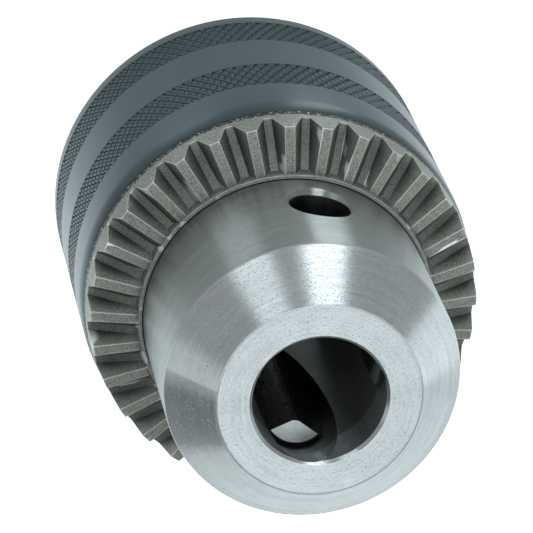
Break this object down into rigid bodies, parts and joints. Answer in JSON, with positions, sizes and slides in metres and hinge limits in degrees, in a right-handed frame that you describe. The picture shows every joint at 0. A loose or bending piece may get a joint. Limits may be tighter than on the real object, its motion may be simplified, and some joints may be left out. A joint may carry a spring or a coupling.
{
  "type": "drill chuck",
  "caption": "Keyed three-jaw drill chuck with a knurled sleeve, bevel gear ring, split nut and thrust race inside, and a threaded rear hole.",
  "frame": {"origin": "centre of the rear face, which the chuck stands on", "axes": "+Z along the chuck's axis towards the nose; one key hole faces -Y and one jaw is on the +Y side"},
  "size_m": [0.0428, 0.0428, 0.065],
  "materials": {
    "turned_steel": "bright fine-turned steel",
    "jaw_steel": "hardened ground steel",
    "nut_steel": "dark hardened steel, oiled",
    "sintered_steel": "sintered steel, grainy",
    "phosphated_steel": "black phosphate, matte",
    "bearing_steel": "polished bearing steel",
    "cage_brass": "stamped brass"
  },
  "bodies": {
    "root": {"chuck_body": "turned_steel", "rear_race": "bearing_steel"},
    "sleeve_group": {"grip_sleeve": "phosphated_steel", "gear_ring": "sintered_steel", "nut_half_a": "nut_steel", "nut_half_b": "nut_steel", "front_race": "bearing_steel"},
    "ball_cage": {"ball_cage": "cage_brass", "thrust_balls": "bearing_steel"},
    "jaw_1": {"jaw_1": "jaw_steel"},
    "jaw_2": {"jaw_2": "jaw_steel"},
    "jaw_3": {"jaw_3": "jaw_steel"}
  },
  "joints": [
    {"name": "sleeve_turn", "type": "hinge", "parent": "root", "child": "sleeve_group", "pos_m": [0, 0, 0.036], "axis": [0, 0, -1], "range_deg": [0, 3906]},
    {"name": "cage_turn", "type": "hinge", "parent": "root", "child": "ball_cage", "pos_m": [0, 0, 0.031], "axis": [0, 0, -1], "range_deg": [0, 1953.1]},
    {"name": "jaw_1_slide", "type": "slide", "parent": "root", "child": "jaw_1", "axis": [0, -0.2756, 0.9613], "range_m": [0, 0.02171]},
    {"name": "jaw_2_slide", "type": "slide", "parent": "root", "child": "jaw_2", "axis": [0.2387, 0.1378, 0.9613], "range_m": [0, 0.02171]},
    {"name": "jaw_3_slide", "type": "slide", "parent": "root", "child": "jaw_3", "axis": [-0.2387, 0.1378, 0.9613], "range_m": [0, 0.02171]}
  ],
  "couplings": [
    {"joint": "cage_turn", "follows": "sleeve_turn", "ratio": 0.5},
    {"joint": "jaw_1_slide", "follows": "sleeve_turn", "m_per_rad": 0.00031831},
    {"joint": "jaw_2_slide", "follows": "sleeve_turn", "m_per_rad": 0.00031831},
    {"joint": "jaw_3_slide", "follows": "sleeve_turn", "m_per_rad": 0.00031831}
  ]
}
